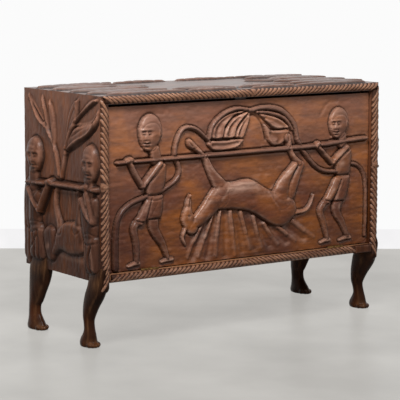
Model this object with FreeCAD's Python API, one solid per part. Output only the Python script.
"""Carved fall-front chest on figure legs: plank-built case, hinged carved flap, slotted stays, catch.

Millimetres, +Z up, origin on the floor under the middle of the case, -Y is the front.
Carved faces are drawn in shares of the face that carries them, so they follow its size.
"""
import FreeCAD
import Part
import math
import os

Vector = FreeCAD.Vector
ACROSS = Vector(1, 0, 0)
BACKWARD = Vector(0, 1, 0)
UPWARD = Vector(0, 0, 1)

# Case
WIDTH = 1000.0
DEPTH = 430.0
HEIGHT = 710.0
FLOOR_GAP = 190.0
TOP_THICK = 24.0
BOTTOM_THICK = 24.0
END_THICK = 28.0
HOUSING_DEPTH = 10.0
HOUSING_STOP = 40.0
BACK_THICK = 16.0
BACK_REBATE = 12.0
BACK_LAP = 8.0
BACK_BOARDS = 3
OVERRUN = 2.0

# Mitred top corners
SPLINE_THICK = 4.0
SPLINE_WIDTH = 20.0
SPLINE_STOP = 25.0
GLUE_BLOCK_LEG = 22.0
GLUE_BLOCK_LENGTH = 60.0
GLUE_BLOCK_SPACING = 120.0

# Rope carved on the front edges
BEAD_DEPTH = 6.0
BEAD_CREST_SHARE = 0.5
ROPE_PITCH = 17.0
ROPE_CUT_DEPTH = 4.5
ROPE_CUT_HALF = 3.6
ROPE_TAIL = 32.0
ROPE_TAIL_DEPTH = 24.0
ROPE_LEAN_SHARE = 0.85
ROPE_PLAIN_END = 64.0
ROPE_PLAIN_START = 4.0
ROPE_TURN_SHARE = 0.52

# Flap
FLAP_RECESS = 22.0
FLAP_THICK = 18.0
FLAP_SIDE_GAP = 2.5
FLAP_TOP_GAP = 8.0

# Hinges
HINGE_INSET = 135.0
HINGE_LENGTH = 58.0
LEAF_THICK = 1.6
LEAF_GAP = 2.4
LEAF_WIDTH = 21.0
KNUCKLE_RADIUS = 4.5
KNUCKLE_GAP = 0.3
KNUCKLE_OFFSET = 0.5
HINGE_PIN_RADIUS = 2.0
PIN_CLEARANCE = 0.05

# Slotted stays
STAY_BACK_GAP = 43.0
STAY_START_DEG = 18.0
STAY_OPEN_DEG = 90.0
STAY_INSET = 16.5
STAY_THICK = 2.5
STAY_HALF = 7.0
STAY_END = 11.0
STAY_RUN_GAP = 0.4
STUD_RADIUS = 3.5
STUD_CLEARANCE = 0.1
STUD_POST_RADIUS = 6.0
STUD_POST_SIDES = 6
STUD_HEAD_RADIUS = 6.0
STUD_HEAD = 2.0
RIVET_RADIUS = 2.5
RIVET_HEAD_RADIUS = 4.5
RIVET_HEAD = 1.5
LUG_OFFSET = 12.0
LUG_THICK = 2.0
LUG_HALF = 8.0
LUG_FOOT = 22.0
LUG_LENGTH = 44.0

# Flap stops and magnetic catch
STOP_WIDTH = 13.0
STOP_DEPTH = 12.0
STOP_LENGTH = 60.0
STOP_DROP = 30.0
STOP_GAP = 0.3
CATCH_LENGTH = 64.0
CATCH_DEPTH = 18.0
CATCH_HEIGHT = 21.0
CATCH_EAR = 12.0
CATCH_EAR_THICK = 3.0
POLE_THICK = 1.5
POLE_LENGTH = 34.0
POLE_SPACING = 5.0
POLE_HEIGHT = 17.0
POLE_PROUD = 0.8
KEEPER_THICK = 1.6
KEEPER_LENGTH = 40.0
KEEPER_HEIGHT = 14.0
KEEPER_DROP = 1.0

# Carved relief heights, above the ground of the carved face
FLAP_HEAD_RISE = 10.0
FLAP_BODY_RISE = 8.6
FLAP_LIMB_RISE = 7.8
FLAP_FOOT_RISE = 4.6
FLAP_POLE_RISE = 9.4
FLAP_BEAST_RISE = 9.0
FLAP_VINE_RISE = 5.2
FLAP_LEAF_RISE = 6.4
FLAP_FAR_RISE = 4.0
END_HEAD_RISE = 24.0
END_BODY_RISE = 19.0
END_LIMB_RISE = 16.5
END_POLE_RISE = 17.5
END_BEAST_RISE = 12.0
END_LEAF_RISE = 8.0
END_HEM_RISE = 21.0
TOP_LEAF_RISE = 8.0
CURVE_STEPS = 2
HEAD_POINTS = 6
LEG_SIDES = 12
FOOT_SIDES = 10
STRIP_RISE_SHARES = (-0.3, 1.0)
STRIP_WIDTH_SHARES = (1.0, 0.5)
PAD_RISE_SHARES = (-0.3, 0.62, 1.0)
PAD_INSET_SHARES = (0.0, 0.22, 0.85)

# Figure legs: floor to box, from the front face to the ankle and from the back face to the ankle
LEG_OUTER_PROUD = 20.0
FRONT_ANKLE_INSET = 79.0
REAR_ANKLE_INSET = 41.0
CALF_LENGTH = 92.0
FOOT_LENGTH = 88.0
FOOT_WIDTH = 44.0
FOOT_HEIGHT = 40.0

# Figures on the flap: shares of flap width and flap height, half widths as shares of flap height
POLE_SHARES = ((0.025, 0.657), (0.35, 0.661), (0.70, 0.67), (0.982, 0.682))
POLE_HALF_SHARES = (0.011, 0.017, 0.017, 0.017)
LEFT_BEARER_SHARES = {
    "head": (0.150, 0.812, 0.043, 0.104),
    "torso": ((0.155, 0.62), (0.205, 0.64), (0.207, 0.55), (0.193, 0.455), (0.142, 0.45), (0.138, 0.52)),
    "hips": ((0.140, 0.45), (0.192, 0.455), (0.198, 0.39), (0.186, 0.31), (0.150, 0.305), (0.138, 0.38)),
    "neck": ((0.163, 0.73), (0.172, 0.66)),
    "upper_arm": ((0.186, 0.63), (0.118, 0.51)),
    "forearm": ((0.118, 0.51), (0.073, 0.66)),
    "hand": ((0.066, 0.672), (0.082, 0.672)),
    "thigh": ((0.145, 0.40), (0.113, 0.30)),
    "front_leg": ((0.106, 0.30), (0.086, 0.25), (0.095, 0.16), (0.102, 0.05)),
    "front_foot": ((0.106, 0.037), (0.074, 0.029)),
    "rear_leg": ((0.164, 0.31), (0.168, 0.23), (0.192, 0.14), (0.210, 0.055)),
    "rear_foot": ((0.226, 0.037), (0.192, 0.033)),
}
RIGHT_BEARER_SHARES = {
    "head": (0.872, 0.812, 0.037, 0.097),
    "torso": ((0.880, 0.62), (0.934, 0.645), (0.937, 0.56), (0.930, 0.475), (0.876, 0.475), (0.868, 0.53)),
    "hips": ((0.876, 0.47), (0.928, 0.472), (0.935, 0.41), (0.914, 0.315), (0.866, 0.31), (0.866, 0.39)),
    "neck": ((0.893, 0.74), (0.902, 0.68)),
    "upper_arm": ((0.922, 0.64), (0.850, 0.56)),
    "forearm": ((0.846, 0.56), (0.795, 0.665)),
    "hand": ((0.782, 0.678), (0.798, 0.678)),
    "thigh": ((0.876, 0.43), (0.842, 0.33)),
    "front_leg": ((0.834, 0.32), (0.806, 0.25), (0.818, 0.17), (0.833, 0.07)),
    "front_foot": ((0.840, 0.045), (0.808, 0.040)),
    "rear_leg": ((0.884, 0.31), (0.878, 0.24), (0.902, 0.15), (0.921, 0.07)),
    "rear_foot": ((0.930, 0.046), (0.890, 0.038)),
}
LIMB_HALF_SHARES = {
    "neck": (0.036, 0.040),
    "upper_arm": (0.026, 0.022),
    "forearm": (0.022, 0.018),
    "hand": (0.026, 0.026),
    "thigh": (0.036, 0.031),
    "front_leg": (0.026, 0.024, 0.021, 0.015),
    "front_foot": (0.016, 0.011),
    "rear_leg": (0.034, 0.028, 0.021, 0.015),
    "rear_foot": (0.016, 0.011),
}
BEAST_BODY_SHARES = ((0.36, 0.37), (0.40, 0.49), (0.45, 0.48), (0.52, 0.495), (0.60, 0.41), (0.68, 0.36),
                     (0.702, 0.26), (0.655, 0.178), (0.60, 0.195), (0.53, 0.28), (0.46, 0.315), (0.39, 0.325))
BEAST_LIMB_SHARES = {
    "neck": ((0.390, 0.39), (0.335, 0.285), (0.293, 0.235)),
    "face": ((0.290, 0.24), (0.282, 0.33), (0.287, 0.42)),
    "horn": ((0.278, 0.22), (0.265, 0.17), (0.276, 0.115)),
    "foreleg": ((0.410, 0.46), (0.368, 0.56), (0.346, 0.65)),
    "fore_hoof": ((0.340, 0.665), (0.312, 0.71), (0.293, 0.75)),
    "haunch": ((0.640, 0.36), (0.660, 0.46), (0.698, 0.565)),
    "shank": ((0.700, 0.57), (0.676, 0.64), (0.666, 0.74)),
    "tail": ((0.690, 0.25), (0.745, 0.270), (0.768, 0.35)),
}
BEAST_HALF_SHARES = {
    "neck": (0.058, 0.040, 0.030),
    "face": (0.036, 0.031, 0.016),
    "horn": (0.012, 0.010, 0.006),
    "foreleg": (0.050, 0.029, 0.018),
    "fore_hoof": (0.013, 0.015, 0.021),
    "haunch": (0.072, 0.040, 0.020),
    "shank": (0.019, 0.014, 0.021),
    "tail": (0.018, 0.015, 0.010),
}
FAR_LEG_SHARES = ((0.675, 0.40), (0.735, 0.55))
FAR_LEG_HALF_SHARES = (0.030, 0.024)
VINE_SHARES = (
    ((0.025, 0.045), (0.025, 0.20), (0.036, 0.33), (0.075, 0.405), (0.145, 0.448)),
    ((0.185, 0.47), (0.235, 0.525), (0.253, 0.59), (0.236, 0.71),
     (0.262, 0.835), (0.310, 0.84), (0.365, 0.755)),
    ((0.704, 0.73), (0.735, 0.645), (0.777, 0.563), (0.820, 0.512), (0.872, 0.497)),
    ((0.930, 0.53), (0.968, 0.505), (0.986, 0.44), (0.988, 0.25), (0.987, 0.06)),
)
VINE_HALF_SHARES = (
    (0.026, 0.024, 0.018, 0.016, 0.015),
    (0.015, 0.016, 0.016, 0.016, 0.015, 0.014, 0.013),
    (0.014, 0.015, 0.016, 0.016, 0.015),
    (0.014, 0.016, 0.017, 0.018, 0.020),
)
LEAF_SHARES = (
    ((0.512, 0.925), (0.468, 0.835), (0.425, 0.765), (0.368, 0.775), (0.385, 0.865), (0.44, 0.94)),
    ((0.510, 0.90), (0.488, 0.77), (0.455, 0.70), (0.385, 0.70), (0.362, 0.750), (0.430, 0.768), (0.468, 0.84)),
    ((0.530, 0.925), (0.60, 0.94), (0.665, 0.875), (0.702, 0.74), (0.672, 0.80), (0.62, 0.875)),
    ((0.552, 0.90), (0.61, 0.87), (0.662, 0.80), (0.655, 0.73), (0.615, 0.705), (0.588, 0.745), (0.572, 0.83)),
)

# Figures on an end: shares of case depth from the front and of case height, half widths of case height
END_POLE_SHARES = ((0.055, 0.634), (0.50, 0.628), (0.975, 0.612))
END_POLE_HALF_SHARES = (0.0115, 0.0115, 0.0115)
END_HEAD_SHARES = ((0.125, 0.733, 0.088, 0.076), (0.840, 0.733, 0.092, 0.074))
END_TORSO_SHARES = (
    ((0.07, 0.60), (0.22, 0.61), (0.25, 0.56), (0.21, 0.43), (0.08, 0.42), (0.06, 0.51)),
    ((0.78, 0.58), (0.95, 0.60), (0.975, 0.54), (0.955, 0.43), (0.80, 0.43), (0.785, 0.51)),
)
END_HEM_SHARES = (
    ((0.065, 0.45), (0.205, 0.45), (0.245, 0.39), (0.205, 0.31), (0.055, 0.31), (0.05, 0.38)),
    ((0.775, 0.45), (0.95, 0.45), (0.975, 0.38), (0.955, 0.31), (0.735, 0.31), (0.735, 0.38)),
)
END_LIMB_SHARES = (
    ((0.215, 0.585), (0.150, 0.53), (0.085, 0.505)),
    ((0.085, 0.510), (0.120, 0.57), (0.160, 0.63)),
    ((0.930, 0.59), (0.850, 0.54), (0.765, 0.505)),
    ((0.765, 0.510), (0.700, 0.57), (0.635, 0.63)),
)
END_LIMB_HALF_SHARES = (0.020, 0.019, 0.017)
END_BEAST_SHARES = (
    ((0.22, 0.38), (0.26, 0.48), (0.40, 0.485), (0.53, 0.46),
     (0.60, 0.39), (0.63, 0.325), (0.52, 0.36), (0.38, 0.353)),
)
END_BEAST_LEG_SHARES = (
    ((0.30, 0.47), (0.275, 0.55), (0.29, 0.63)),
    ((0.52, 0.45), (0.575, 0.54), (0.555, 0.625)),
)
END_BEAST_LEG_HALF_SHARES = (0.024, 0.014, 0.011)
END_PLANT_SHARES = (
    ((0.470, 0.655), (0.445, 0.71), (0.405, 0.78), (0.25, 0.855), (0.075, 0.925)),
    ((0.415, 0.775), (0.380, 0.86), (0.300, 0.960)),
    ((0.520, 0.655), (0.565, 0.75), (0.620, 0.82), (0.760, 0.90), (0.930, 0.965)),
    ((0.575, 0.77), (0.600, 0.86), (0.650, 0.955)),
    ((0.610, 0.81), (0.665, 0.88), (0.730, 0.965)),
)
END_PLANT_HALF_SHARES = (
    (0.012, 0.013, 0.020, 0.034, 0.012),
    (0.012, 0.028, 0.010),
    (0.012, 0.013, 0.016, 0.024, 0.010),
    (0.010, 0.018, 0.008),
    (0.010, 0.018, 0.008),
)

# Leaves on the top: shares of case width and depth, half widths of case depth, drawn for the left end
TOP_LEAF_SHARES = (
    ((0.035, 0.50), (0.110, 0.56), (0.220, 0.52), (0.280, 0.50)),
    ((0.035, 0.30), (0.110, 0.22), (0.200, 0.24), (0.290, 0.17)),
    ((0.035, 0.72), (0.110, 0.80), (0.190, 0.76), (0.270, 0.84)),
    ((0.330, 0.13), (0.400, 0.17), (0.470, 0.11)),
)
TOP_LEAF_HALF_SHARES = (
    (0.030, 0.075, 0.060, 0.015),
    (0.030, 0.070, 0.055, 0.015),
    (0.030, 0.070, 0.055, 0.015),
    (0.015, 0.050, 0.015),
)

# Leg and foot sections: height, then front, back, inner and outer edges about the ankle
LEG_HEIGHT_SHARES = (0.13, 0.31, 0.47, 0.63, 0.84, 1.03)
FRONT_LEG_FRONT_SHARES = (-0.20, -0.19, -0.24, -0.40, -0.70, -0.76)
FRONT_LEG_BACK_SHARES = (0.22, 0.22, 0.22, 0.19, 0.10, 0.06)
REAR_LEG_FRONT_SHARES = (-0.20, -0.20, -0.33, -0.51, -0.76, -0.82)
REAR_LEG_BACK_SHARES = (0.22, 0.21, 0.20, 0.17, 0.13, 0.11)
LEG_INNER_SHARES = (0.16, 0.10, 0.04, 0.02, 0.0, 0.0)
LEG_OUTER_SHARES = (0.66, 0.70, 0.76, 0.82, 0.94, 1.0)
FOOT_PLACE_SHARES = (-0.30, -0.20, 0.05, 0.34, 0.58, 0.66)
FOOT_WIDTH_SHARES = (0.34, 0.66, 0.72, 0.92, 0.94, 0.66)
FOOT_HEIGHT_SHARES = (0.50, 0.86, 1.0, 0.62, 0.42, 0.26)
FOOT_SINK_SHARE = 0.3

# Places worked out from the sizes above
HALF_WIDTH = WIDTH / 2
HALF_DEPTH = DEPTH / 2
FRONT = -HALF_DEPTH
INNER_X = HALF_WIDTH - END_THICK
BOARD_TOP = FLOOR_GAP + BOTTOM_THICK
TOP_UNDER = HEIGHT - TOP_THICK
BACK_FRONT = HALF_DEPTH - BACK_THICK
FLAP_FRONT = FRONT + FLAP_RECESS
FLAP_BACK = FLAP_FRONT + FLAP_THICK
FLAP_BOTTOM = BOARD_TOP + LEAF_GAP
FLAP_TOP = TOP_UNDER - FLAP_TOP_GAP
FLAP_HALF = INNER_X - FLAP_SIDE_GAP
AXIS_Y = FLAP_FRONT - KNUCKLE_RADIUS - KNUCKLE_OFFSET
AXIS_Z = BOARD_TOP + LEAF_GAP / 2
KNUCKLE_LENGTH = (HINGE_LENGTH - 2 * KNUCKLE_GAP) / 3
HINGE_X = INNER_X - HINGE_INSET
PIVOT_Y = FLAP_BACK + LUG_OFFSET
STAY_SWEEP = 2 * math.sin(math.radians(STAY_START_DEG + STAY_OPEN_DEG) / 2)
STAY_REACH = (BACK_FRONT - STAY_BACK_GAP - STAY_END - PIVOT_Y) / STAY_SWEEP
SIDES = {"left": -1, "right": 1}


class CarvedFace:
    """Flat face with relief: shares run across it and up it, and relief stands out of it."""

    def __init__(self, corner, across, up, outward):
        self.corner = corner
        self.across = across
        self.up = up
        self.outward = outward

    def spot(self, share, rise):
        """Point at a share of the face, at a height above its ground."""
        return self.corner + self.across * share[0] + self.up * share[1] + self.outward * rise


def block(x_span, y_span, z_span):
    """Box between pairs of places."""
    size = [max(span) - min(span) for span in (x_span, y_span, z_span)]
    return Part.makeBox(*size, Vector(min(x_span), min(y_span), min(z_span)))


def prism(points, travel):
    """Closed straight-sided outline pushed along a travel vector."""
    return Part.Face(Part.makePolygon(points + points[:1])).extrude(travel)


def turned(point, direction, profile):
    """Solid turned on an axis: the profile lists distance along the axis and radius."""
    outline = [Vector(radius, 0, distance) for distance, radius in profile]
    outline = [Vector(0, 0, profile[0][0])] + outline
    if profile[-1][1] > 0:
        outline.append(Vector(0, 0, profile[-1][0]))
    body = Part.Face(Part.makePolygon(outline + outline[:1])).revolve(Vector(), UPWARD, 360)
    body.Placement = FreeCAD.Placement(point, FreeCAD.Rotation(UPWARD, direction))
    return body


def stadium(start, end, half, travel):
    """Plate with round ends between two points, pushed along a travel vector."""
    along = (end - start).normalize()
    aside = along.cross(travel).normalize() * half
    edges = [
        Part.makeLine(start + aside, end + aside),
        Part.Arc(end + aside, end + along * half, end - aside).toShape(),
        Part.makeLine(end - aside, start - aside),
        Part.Arc(start - aside, start - along * half, start + aside).toShape(),
    ]
    return Part.Face(Part.Wire(edges)).extrude(travel)


def smooth(points, closed=False):
    """Curve through points."""
    curve = Part.BSplineCurve()
    curve.interpolate(points, closed)
    return curve


def oval_points(centre, first, second, count):
    """Points round an oval with two half-axis vectors."""
    turns = [2 * math.pi * index / count for index in range(count)]
    return [centre + first * math.cos(turn) + second * math.sin(turn) for turn in turns]


def ring(points):
    """Closed wire of straight edges."""
    return Part.makePolygon(points + points[:1])


def skin(rings):
    """Solid through rings of points, closed with flat facets like the flats that a chisel leaves."""
    faces = [Part.Face(ring(rings[0])), Part.Face(ring(rings[-1]))]
    for lower, upper in zip(rings, rings[1:]):
        for index, point in enumerate(lower):
            following = (index + 1) % len(lower)
            faces.append(Part.Face(ring([point, lower[following], upper[following]])))
            faces.append(Part.Face(ring([point, upper[following], upper[index]])))
    shell = Part.makeShell(faces)
    solid = Part.makeSolid(shell)
    if solid.Volume < 0:
        solid.reverse()
    return solid.removeSplitter()


def stations(spine, halves):
    """Places along a spine: point, direction and half width, with added places on its bends."""
    curve = smooth(spine)
    knots = [curve.parameter(point) for point in spine]
    steps = CURVE_STEPS if len(spine) > 2 else 1
    places = []
    for index in range(len(spine) - 1):
        for step in range(steps):
            part = step / steps
            knot = knots[index] * (1 - part) + knots[index + 1] * part
            half = halves[index] * (1 - part) + halves[index + 1] * part
            places.append((curve.value(knot), curve.tangent(knot)[0], half))
    places.append((spine[-1], curve.tangent(knots[-1])[0], halves[-1]))
    return places


def strip_ring(face, spine, halves, rise):
    """Outline with blunt round ends about a spine, at one height above the carved face."""
    places = stations([face.spot(share, rise) for share in spine], halves)
    lefts = [point + along.cross(face.outward) * half for point, along, half in places]
    rights = [point - along.cross(face.outward) * half for point, along, half in places]
    head_point, head_along, head_half = places[-1]
    tail_point, tail_along, tail_half = places[0]
    reach = math.sqrt(3) / 2
    head = head_along.cross(face.outward) * (head_half / 2)
    tail = tail_along.cross(face.outward) * (tail_half / 2)
    head_tip = head_point + head_along * (head_half * reach)
    tail_tip = tail_point - tail_along * (tail_half * reach)
    return lefts + [head_tip + head, head_tip - head] + rights[::-1] + [tail_tip - tail, tail_tip + tail]


def strip(face, spine, half_shares, rise):
    """Carved limb, stem or leaf: a strip with sloping sides that follows its spine."""
    rings = []
    for level, narrowing in zip(STRIP_RISE_SHARES, STRIP_WIDTH_SHARES):
        halves = [share * face.up.Length * narrowing for share in half_shares]
        rings.append(strip_ring(face, spine, halves, rise * level))
    return skin(rings)


def pad(face, outline, rise):
    """Carved mass with a smooth outline and rounded shoulders; the outline runs clockwise."""
    curve = smooth([face.spot(share, 0) for share in outline], True)
    count = len(outline) * CURVE_STEPS
    span = (curve.LastParameter - curve.FirstParameter) / count
    knots = [curve.FirstParameter + span * index for index in range(count)]
    rings = []
    for level, inset in zip(PAD_RISE_SHARES, PAD_INSET_SHARES):
        points = []
        for knot in knots:
            inward = curve.tangent(knot)[0].cross(face.across.cross(face.up)).normalize()
            points.append(curve.value(knot) + inward * (rise * inset) + face.outward * (rise * level))
        rings.append(points)
    return skin(rings)


def carved_head(face, head, rise):
    """Egg-shaped head standing out of a carved face."""
    centre_u, centre_v, half_u, half_v = head
    turns = [-2 * math.pi * index / HEAD_POINTS for index in range(HEAD_POINTS)]
    outline = [(centre_u + half_u * math.cos(turn), centre_v + half_v * math.sin(turn)) for turn in turns]
    return pad(face, outline, rise)


def bearer(face, shares):
    """One walking figure of the flap, with a pole on the shoulder."""
    pieces = [
        carved_head(face, shares["head"], FLAP_HEAD_RISE),
        pad(face, shares["torso"], FLAP_BODY_RISE),
        pad(face, shares["hips"], FLAP_LIMB_RISE),
    ]
    for name, half_shares in LIMB_HALF_SHARES.items():
        rise = FLAP_FOOT_RISE if name.endswith("foot") else FLAP_LIMB_RISE
        rise = FLAP_POLE_RISE if name in ("hand", "forearm") else rise
        pieces.append(strip(face, shares[name], half_shares, rise))
    return pieces


def beast(face):
    """Antelope slung under the pole by its feet."""
    pieces = [pad(face, BEAST_BODY_SHARES, FLAP_BEAST_RISE)]
    for name, spine in BEAST_LIMB_SHARES.items():
        pieces.append(strip(face, spine, BEAST_HALF_SHARES[name], FLAP_LIMB_RISE))
    pieces.append(strip(face, FAR_LEG_SHARES, FAR_LEG_HALF_SHARES, FLAP_FAR_RISE))
    return pieces


def flap_carving():
    """Hunting scene of the flap: vines and leaves, the beast, two bearers and the pole."""
    face = CarvedFace(
        Vector(-FLAP_HALF, FLAP_FRONT, FLAP_BOTTOM),
        ACROSS * (2 * FLAP_HALF),
        UPWARD * (FLAP_TOP - FLAP_BOTTOM),
        -BACKWARD,
    )
    pieces = [strip(face, POLE_SHARES, POLE_HALF_SHARES, FLAP_POLE_RISE)]
    for spine, half_shares in zip(VINE_SHARES, VINE_HALF_SHARES):
        pieces.append(strip(face, spine, half_shares, FLAP_VINE_RISE))
    for outline in LEAF_SHARES:
        pieces.append(pad(face, outline, FLAP_LEAF_RISE))
    pieces += beast(face)
    pieces += bearer(face, LEFT_BEARER_SHARES)
    pieces += bearer(face, RIGHT_BEARER_SHARES)
    return pieces


def end_carving():
    """Scene of the left end: two figures above the legs, their pole, the beast and the plants."""
    face = CarvedFace(Vector(-HALF_WIDTH, FRONT, 0), BACKWARD * DEPTH, UPWARD * HEIGHT, -ACROSS)
    pieces = [strip(face, END_POLE_SHARES, END_POLE_HALF_SHARES, END_POLE_RISE)]
    for spine, half_shares in zip(END_PLANT_SHARES, END_PLANT_HALF_SHARES):
        pieces.append(strip(face, spine, half_shares, END_LEAF_RISE))
    for outline in END_BEAST_SHARES:
        pieces.append(pad(face, outline, END_BEAST_RISE))
    for spine in END_BEAST_LEG_SHARES:
        pieces.append(strip(face, spine, END_BEAST_LEG_HALF_SHARES, END_BEAST_RISE))
    for spine in END_LIMB_SHARES:
        pieces.append(strip(face, spine, END_LIMB_HALF_SHARES, END_LIMB_RISE))
    for outline in END_TORSO_SHARES:
        pieces.append(pad(face, outline, END_BODY_RISE))
    for outline in END_HEM_SHARES:
        pieces.append(pad(face, outline, END_HEM_RISE))
    for head in END_HEAD_SHARES:
        pieces.append(carved_head(face, head, END_HEAD_RISE))
    return pieces


def top_carving():
    """Low leaves round the ends and the front of the top, with the middle left plain."""
    face = CarvedFace(Vector(-HALF_WIDTH, FRONT, HEIGHT), ACROSS * WIDTH, BACKWARD * DEPTH, UPWARD)
    pieces = []
    for spine, half_shares in zip(TOP_LEAF_SHARES, TOP_LEAF_HALF_SHARES):
        leaf = strip(face, spine, half_shares, TOP_LEAF_RISE)
        pieces.append(leaf)
        pieces.append(leaf.mirror(Vector(), ACROSS))
    return pieces


def beaded(thick, depth, back):
    """Board section with its front edge eased for the rope: across the thickness, then backward."""
    half = thick / 2
    crest = half * BEAD_CREST_SHARE
    front = back - depth
    return ring([
        Vector(half, back, 0),
        Vector(-half, back, 0),
        Vector(-half, front + BEAD_DEPTH, 0),
        Vector(-crest, front, 0),
        Vector(crest, front, 0),
        Vector(half, front + BEAD_DEPTH, 0),
    ])


def flat_board(thick, back, half_length, middle_z):
    """Horizontal board with its rounded edge at the front."""
    section = Part.Face(beaded(thick, back - FRONT, back))
    board = section.extrude(UPWARD * (2 * half_length))
    board.Placement = FreeCAD.Placement(Vector(half_length, 0, middle_z), FreeCAD.Rotation(BACKWARD, -90))
    return board


def rope_cuts(start, along, length, across, half_width, turn):
    """Slanting V cuts across a rounded edge; their lean changes hand at the turn."""
    cuts = []
    outward = -BACKWARD
    for index in range(1, int(length / ROPE_PITCH) + 1):
        distance = (index - 1 / 2) * ROPE_PITCH
        lean = ROPE_LEAN_SHARE if distance < turn * length else -ROPE_LEAN_SHARE
        middle = start + along * distance
        way = (across + along * lean).normalize()
        aside = way.cross(outward) * ROPE_CUT_HALF
        reach = way * (half_width * (1 + ROPE_LEAN_SHARE))
        lip = middle + outward * OVERRUN - reach
        cuts.append(prism([middle - outward * ROPE_CUT_DEPTH - reach, lip + aside, lip - aside], reach * 2))
    return Part.makeCompound(cuts)


def mitre_waste(side, in_top):
    """Corner wedge that the mitre takes off the top board or off an end plank."""
    outer = Vector(side * HALF_WIDTH, FRONT - OVERRUN, HEIGHT)
    inner = Vector(side * INNER_X, FRONT - OVERRUN, TOP_UNDER)
    spare_x = outer.x if in_top else inner.x
    spare_z = inner.z if in_top else outer.z
    spare = Vector(spare_x, FRONT - OVERRUN, spare_z)
    return prism([outer, inner, spare], BACKWARD * (DEPTH + 2 * OVERRUN))


def mitre_spline(side):
    """Loose tongue set across a mitred corner, stopped short of both edges."""
    outer = Vector(side * HALF_WIDTH, 0, HEIGHT)
    inner = Vector(side * INNER_X, 0, TOP_UNDER)
    along = (outer - inner).normalize() * (SPLINE_THICK / 2)
    aside = along.cross(BACKWARD).normalize() * (SPLINE_WIDTH / 2)
    middle = (outer + inner) * 0.5 + BACKWARD * (FRONT + SPLINE_STOP)
    corners = [middle + along + aside, middle + along - aside, middle - along - aside, middle - along + aside]
    return prism(corners, BACKWARD * (DEPTH - 2 * SPLINE_STOP))


def figure_leg(ankle_y, front_shares, back_shares):
    """Bare leg of the left end, knee forward, lofted down to the ankle."""
    sections = []
    span = END_THICK + LEG_OUTER_PROUD
    rows = zip(LEG_HEIGHT_SHARES, front_shares, back_shares, LEG_INNER_SHARES, LEG_OUTER_SHARES)
    for height, front, back, inner, outer in rows:
        centre = Vector(
            -INNER_X - span * (inner + outer) / 2,
            ankle_y + CALF_LENGTH * (front + back) / 2,
            FLOOR_GAP * height,
        )
        half_x = ACROSS * (span * (outer - inner) / 2)
        half_y = BACKWARD * (CALF_LENGTH * (back - front) / 2)
        sections.append(oval_points(centre, half_x, half_y, LEG_SIDES))
    return skin(sections)


def figure_foot(ankle_y):
    """Bare foot of the left end, toes to the front, with a flat sole."""
    middle_x = -INNER_X - END_THICK / 2 - LEG_OUTER_PROUD / 4
    sections = []
    for place, wide, tall in zip(FOOT_PLACE_SHARES, FOOT_WIDTH_SHARES, FOOT_HEIGHT_SHARES):
        height = FOOT_HEIGHT * tall
        centre = Vector(middle_x, ankle_y - FOOT_LENGTH * place, height * (1 - FOOT_SINK_SHARE) / 2)
        half_x = ACROSS * (FOOT_WIDTH * wide / 2)
        half_z = UPWARD * (height * (1 + FOOT_SINK_SHARE) / 2)
        sections.append(oval_points(centre, half_x, half_z, FOOT_SIDES))
    foot = skin(sections)
    spare = block((middle_x - FOOT_WIDTH, middle_x + FOOT_WIDTH), (FRONT, HALF_DEPTH), (-FOOT_HEIGHT, 0))
    return foot.cut(spare)


def rope_tail(section):
    """Rounded end of the rope where it runs down onto the front leg."""
    low = FLOOR_GAP - ROPE_TAIL
    high = FLOOR_GAP + OVERRUN
    back = FRONT + ROPE_TAIL_DEPTH
    start_x = -HALF_WIDTH - OVERRUN
    heel = Vector(start_x, back, low)
    turn = Vector(start_x, FRONT, low + ROPE_TAIL_DEPTH)
    centre = Vector(start_x, back, low + ROPE_TAIL_DEPTH)
    middle = centre - (BACKWARD + UPWARD).normalize() * ROPE_TAIL_DEPTH
    outline = [
        Part.makeLine(heel, Vector(start_x, back, high)),
        Part.makeLine(Vector(start_x, back, high), Vector(start_x, FRONT, high)),
        Part.makeLine(Vector(start_x, FRONT, high), turn),
        Part.Arc(turn, middle, heel).toShape(),
    ]
    side_view = Part.Face(Part.Wire(outline)).extrude(ACROSS * (END_THICK + 2 * OVERRUN))
    bead = section.extrude(UPWARD * HEIGHT)
    bead.translate(Vector(-HALF_WIDTH + END_THICK / 2, 0, 0))
    return side_view.common(bead)


def left_end():
    """Left end plank: rope edge, carved scene and two legs, all from one plank."""
    section = Part.Face(beaded(END_THICK, DEPTH, HALF_DEPTH))
    plank = section.extrude(UPWARD * (HEIGHT - FLOOR_GAP))
    plank.translate(Vector(-HALF_WIDTH + END_THICK / 2, 0, FLOOR_GAP))
    front_ankle = FRONT + FRONT_ANKLE_INSET
    rear_ankle = HALF_DEPTH - REAR_ANKLE_INSET
    growth = end_carving()
    growth.append(rope_tail(section))
    growth.append(figure_leg(front_ankle, FRONT_LEG_FRONT_SHARES, FRONT_LEG_BACK_SHARES))
    growth.append(figure_leg(rear_ankle, REAR_LEG_FRONT_SHARES, REAR_LEG_BACK_SHARES))
    growth.append(figure_foot(front_ankle))
    growth.append(figure_foot(rear_ankle))
    plank = plank.multiFuse(growth)
    inside = block((-INNER_X, 0), (FRONT, HALF_DEPTH), (FLOOR_GAP, HEIGHT))
    start = Vector(-HALF_WIDTH + END_THICK / 2, FRONT, FLOOR_GAP - ROPE_TAIL)
    rope = rope_cuts(start, UPWARD, HEIGHT - start.z, ACROSS, END_THICK / 2, ROPE_TURN_SHARE)
    waste = [inside, mitre_waste(-1, False), mitre_spline(-1), bottom_blank(), rope]
    waste.append(block((-INNER_X - BACK_REBATE, 0), (BACK_FRONT, HALF_DEPTH), (FLOOR_GAP, TOP_UNDER)))
    for tool in waste:
        plank = plank.cut(tool)
    return plank


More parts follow.
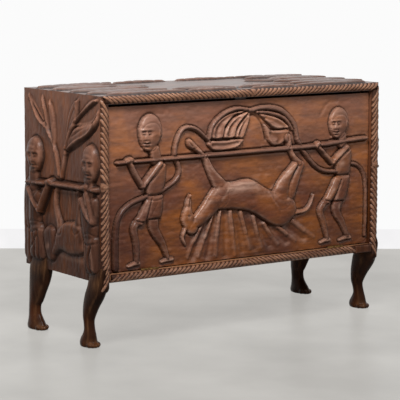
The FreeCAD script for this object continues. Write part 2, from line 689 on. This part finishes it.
def bottom_blank():
    """Bottom board with its tongues for the end planks, before the rope and the hinges are cut."""
    board = flat_board(BOTTOM_THICK, BACK_FRONT, INNER_X, FLOOR_GAP + BOTTOM_THICK / 2)
    reach = INNER_X + HOUSING_DEPTH
    tongue = block((-reach, reach), (FRONT + HOUSING_STOP, BACK_FRONT), (FLOOR_GAP, BOARD_TOP))
    return board.fuse(tongue).removeSplitter()


def knuckle(centre_x, slot):
    """One length of the hinge barrel: slots -1, 0 and 1 run from left to right."""
    middle = centre_x + slot * (KNUCKLE_LENGTH + KNUCKLE_GAP)
    start = Vector(middle - KNUCKLE_LENGTH / 2, AXIS_Y, AXIS_Z)
    return Part.makeCylinder(KNUCKLE_RADIUS, KNUCKLE_LENGTH, start, ACROSS)


def hinge_leaf(centre_x, slots, level):
    """Leaf with its knuckles: level is the height of its lower face."""
    others = [slot for slot in (-1, 0, 1) if slot not in slots]
    half = HINGE_LENGTH / 2
    leaf = block((centre_x - half, centre_x + half), (AXIS_Y, AXIS_Y + LEAF_WIDTH), (level, level + LEAF_THICK))
    for slot in others:
        middle = centre_x + slot * (KNUCKLE_LENGTH + KNUCKLE_GAP)
        reach = KNUCKLE_LENGTH / 2 + KNUCKLE_GAP
        clear = AXIS_Y + KNUCKLE_RADIUS + KNUCKLE_GAP
        leaf = leaf.cut(block((middle - reach, middle + reach), (AXIS_Y, clear), (level, level + LEAF_THICK)))
    for slot in slots:
        leaf = leaf.fuse(knuckle(centre_x, slot))
    return leaf.removeSplitter()


def hinge_bore(centre_x, radius):
    """Hole for the pin along the whole barrel."""
    start = Vector(centre_x - HINGE_LENGTH / 2 - OVERRUN, AXIS_Y, AXIS_Z)
    return Part.makeCylinder(radius, HINGE_LENGTH + 2 * OVERRUN, start, ACROSS)


def hinge_pin(centre_x):
    """Pin that the case leaf holds and the flap leaf turns on."""
    start = Vector(centre_x - HINGE_LENGTH / 2, AXIS_Y, AXIS_Z)
    return Part.makeCylinder(HINGE_PIN_RADIUS, HINGE_LENGTH, start, ACROSS)


def stay_places():
    """Pivot on the flap and stud on the case, both at one reach from the hinge line."""
    axis = Vector(0, AXIS_Y, AXIS_Z)
    start = math.asin((PIVOT_Y - AXIS_Y) / STAY_REACH)
    stud = start + math.radians(STAY_START_DEG)
    pivot_place = axis + (BACKWARD * math.sin(start) + UPWARD * math.cos(start)) * STAY_REACH
    stud_place = axis + (BACKWARD * math.sin(stud) + UPWARD * math.cos(stud)) * STAY_REACH
    return pivot_place, stud_place


def stay_arm(side):
    """Slotted arm: the stud runs along the slot as the flap opens."""
    pivot, stud = stay_places()
    outer = ACROSS * (side * (INNER_X - STAY_INSET))
    travel = ACROSS * (-side * STAY_THICK)
    along = (stud - pivot).normalize()
    far = STAY_REACH * STAY_SWEEP
    end = pivot + along * (far + STAY_END - STAY_HALF)
    arm = stadium(pivot + outer, end + outer, STAY_HALF, travel)
    slot = stadium(stud + outer, pivot + along * far + outer, STUD_RADIUS + STUD_CLEARANCE, travel)
    hole = Part.makeCylinder(RIVET_RADIUS + PIN_CLEARANCE, STAY_THICK, pivot + outer, -ACROSS * side)
    return arm.cut(slot).cut(hole)


def stay_stud(side):
    """Stud with a six-sided post, driven into the end plank, that the slot rides on."""
    stud = stay_places()[1]
    face = stud + ACROSS * (side * INNER_X)
    shoulder = STAY_INSET - STAY_RUN_GAP
    neck = STAY_INSET + STAY_THICK + STAY_RUN_GAP
    corners = oval_points(face, BACKWARD * STUD_POST_RADIUS, UPWARD * STUD_POST_RADIUS, STUD_POST_SIDES)
    post = prism(corners, ACROSS * (-side * shoulder))
    pin = turned(face, ACROSS * -side, [
        (shoulder, STUD_RADIUS),
        (neck, STUD_RADIUS),
        (neck, STUD_HEAD_RADIUS),
        (neck + STUD_HEAD, STUD_HEAD_RADIUS),
    ])
    return post.fuse(pin)


def lug_plane():
    """Distance from an end plank to the face of the flap lug that the arm lies on."""
    return STAY_INSET + STAY_THICK + STAY_RUN_GAP


def stay_lug(side):
    """Angle lug on the back of the flap: a foot, and a cheek with the riveted pivot of the arm."""
    pivot = stay_places()[0]
    face_x = side * (INNER_X - lug_plane())
    root = Vector(face_x, FLAP_BACK, pivot.z)
    cheek = stadium(root, Vector(face_x, pivot.y, pivot.z), LUG_HALF, ACROSS * (-side * LUG_THICK))
    cheek = cheek.cut(block((-HALF_WIDTH, HALF_WIDTH), (FRONT, FLAP_BACK), (0, HEIGHT)))
    half = LUG_LENGTH / 2
    foot_x = (face_x, face_x - side * LUG_FOOT)
    foot = block(foot_x, (FLAP_BACK, FLAP_BACK + LUG_THICK), (pivot.z - half, pivot.z + half))
    start = STAY_INSET - STAY_RUN_GAP
    rivet = turned(pivot + ACROSS * (side * INNER_X), ACROSS * -side, [
        (start - RIVET_HEAD, RIVET_HEAD_RADIUS),
        (start, RIVET_HEAD_RADIUS),
        (start, RIVET_RADIUS),
        (lug_plane(), RIVET_RADIUS),
    ])
    return cheek.fuse(foot).fuse(rivet).removeSplitter()


def catch_face():
    """Place of the catch's pole faces, just behind the keeper."""
    return FLAP_BACK + KEEPER_THICK + STOP_GAP


def catch_body():
    """Catch case under the top, with an ear at each end for its screws."""
    half = CATCH_LENGTH / 2
    start = catch_face() + POLE_PROUD
    case = block((-half + CATCH_EAR, half - CATCH_EAR), (start, start + CATCH_DEPTH),
                 (TOP_UNDER - CATCH_HEIGHT, TOP_UNDER))
    ears = block((-half, half), (start, start + CATCH_DEPTH), (TOP_UNDER - CATCH_EAR_THICK, TOP_UNDER))
    return case.fuse(ears).removeSplitter()


def catch_poles():
    """Two steel pole plates let into the catch case."""
    start = catch_face()
    half = POLE_LENGTH / 2
    low = TOP_UNDER - CATCH_HEIGHT + OVERRUN
    plates = []
    for step in (0, 1):
        level = low + step * (POLE_SPACING + POLE_THICK)
        plates.append(block((-half, half), (start, start + POLE_HEIGHT), (level, level + POLE_THICK)))
    return plates


def catch_keeper():
    """Steel keeper plate on the back of the flap."""
    half = KEEPER_LENGTH / 2
    high = FLAP_TOP - KEEPER_DROP
    return block((-half, half), (FLAP_BACK, FLAP_BACK + KEEPER_THICK), (high - KEEPER_HEIGHT, high))


def flap_stop(side):
    """Block on the end plank that the closed flap comes to rest against."""
    start = FLAP_BACK + STOP_GAP
    high = FLAP_TOP - STOP_DROP
    x_span = (side * INNER_X, side * (INNER_X - STOP_WIDTH))
    return block(x_span, (start, start + STOP_DEPTH), (high - STOP_LENGTH, high))


def glue_blocks(side):
    """Row of three-cornered blocks in the angle under the top."""
    corner = Vector(side * INNER_X, 0, TOP_UNDER)
    blocks = []
    for step in (-1, 0, 1):
        start = corner + BACKWARD * (step * GLUE_BLOCK_SPACING - GLUE_BLOCK_LENGTH / 2)
        points = [start, start - ACROSS * (side * GLUE_BLOCK_LEG), start - UPWARD * GLUE_BLOCK_LEG]
        blocks.append(prism(points, BACKWARD * GLUE_BLOCK_LENGTH))
    return blocks


def back_board(index):
    """Back board of the set, half-lapped over its neighbours, counted from the bottom."""
    pitch = (TOP_UNDER - FLOOR_GAP) / BACK_BOARDS
    low = FLOOR_GAP + index * pitch
    high = low + pitch
    reach = INNER_X + BACK_REBATE
    middle = BACK_FRONT + BACK_THICK / 2
    board = block((-reach, reach), (BACK_FRONT, HALF_DEPTH), (low, high))
    if index > 0:
        board = board.fuse(block((-reach, reach), (middle, HALF_DEPTH), (low - BACK_LAP, low)))
    if index < BACK_BOARDS - 1:
        board = board.cut(block((-reach, reach), (middle, HALF_DEPTH), (high - BACK_LAP, high)))
    return board.removeSplitter()


def build():
    """All the pieces by name, each cut for what passes through it."""
    nodes = {}
    bottom = bottom_blank()
    flap = block((-FLAP_HALF, FLAP_HALF), (FLAP_FRONT, FLAP_BACK), (FLAP_BOTTOM, FLAP_TOP))
    flap = flap.multiFuse(flap_carving())
    for name, side in SIDES.items():
        centre = side * HINGE_X
        case_leaf = hinge_leaf(centre, (-1, 1), BOARD_TOP - LEAF_THICK)
        flap_leaf = hinge_leaf(centre, (0,), FLAP_BOTTOM)
        groove = KNUCKLE_RADIUS + KNUCKLE_OFFSET
        start = Vector(centre - HINGE_LENGTH / 2 - KNUCKLE_OFFSET, AXIS_Y, AXIS_Z)
        bottom = bottom.cut(case_leaf)
        bottom = bottom.cut(Part.makeCylinder(groove, HINGE_LENGTH + 2 * KNUCKLE_OFFSET, start, ACROSS))
        flap = flap.cut(flap_leaf)
        nodes[name + "_hinge_case_leaf"] = case_leaf.cut(hinge_bore(centre, HINGE_PIN_RADIUS))
        nodes[name + "_hinge_flap_leaf"] = flap_leaf.cut(hinge_bore(centre, HINGE_PIN_RADIUS + PIN_CLEARANCE))
        nodes[name + "_hinge_pin"] = hinge_pin(centre)
    rope_start = Vector(-INNER_X + ROPE_PLAIN_START, FRONT, FLOOR_GAP + BOTTOM_THICK / 2)
    rope_length = 2 * INNER_X - ROPE_PLAIN_START - ROPE_PLAIN_END
    rope = rope_cuts(rope_start, ACROSS, rope_length, UPWARD, BOTTOM_THICK / 2, ROPE_TURN_SHARE)
    nodes["bottom_board"] = bottom.cut(rope)
    nodes["fall_front"] = flap

    top = flat_board(TOP_THICK, HALF_DEPTH, HALF_WIDTH, HEIGHT - TOP_THICK / 2).multiFuse(top_carving())
    rope_start = Vector(HALF_WIDTH, FRONT, HEIGHT - TOP_THICK / 2)
    rope = rope_cuts(rope_start, -ACROSS, WIDTH, UPWARD, TOP_THICK / 2, 1 - ROPE_TURN_SHARE)
    top = top.cut(rope)
    for name, side in SIDES.items():
        spline = mitre_spline(side)
        top = top.cut(mitre_waste(side, True)).cut(spline)
        nodes[name + "_mitre_spline"] = spline
    nodes["top_board"] = top

    left_plank = left_end()
    nodes["left_end_plank"] = left_plank
    nodes["right_end_plank"] = left_plank.mirror(Vector(), ACROSS)
    for index, name in enumerate(("lower", "middle", "upper")):
        nodes["back_board_" + name] = back_board(index)

    for name, side in SIDES.items():
        nodes[name + "_stay_arm"] = stay_arm(side)
        nodes[name + "_stay_stud"] = stay_stud(side)
        nodes[name + "_stay_lug"] = stay_lug(side)
        nodes[name + "_flap_stop"] = flap_stop(side)
        nodes[name + "_glue_blocks"] = Part.makeCompound(glue_blocks(side))
    poles = Part.makeCompound(catch_poles())
    nodes["catch_body"] = catch_body().cut(poles)
    nodes["catch_poles"] = poles
    nodes["catch_keeper"] = catch_keeper()
    return nodes


os.makedirs("parts", exist_ok=True)
for node_name, shape in build().items():
    shape.exportStep("parts/" + node_name + ".step")
    state = "valid" if shape.isValid() else "NOT VALID"
    print(node_name, len(shape.Solids), "solid", state, round(shape.Volume))
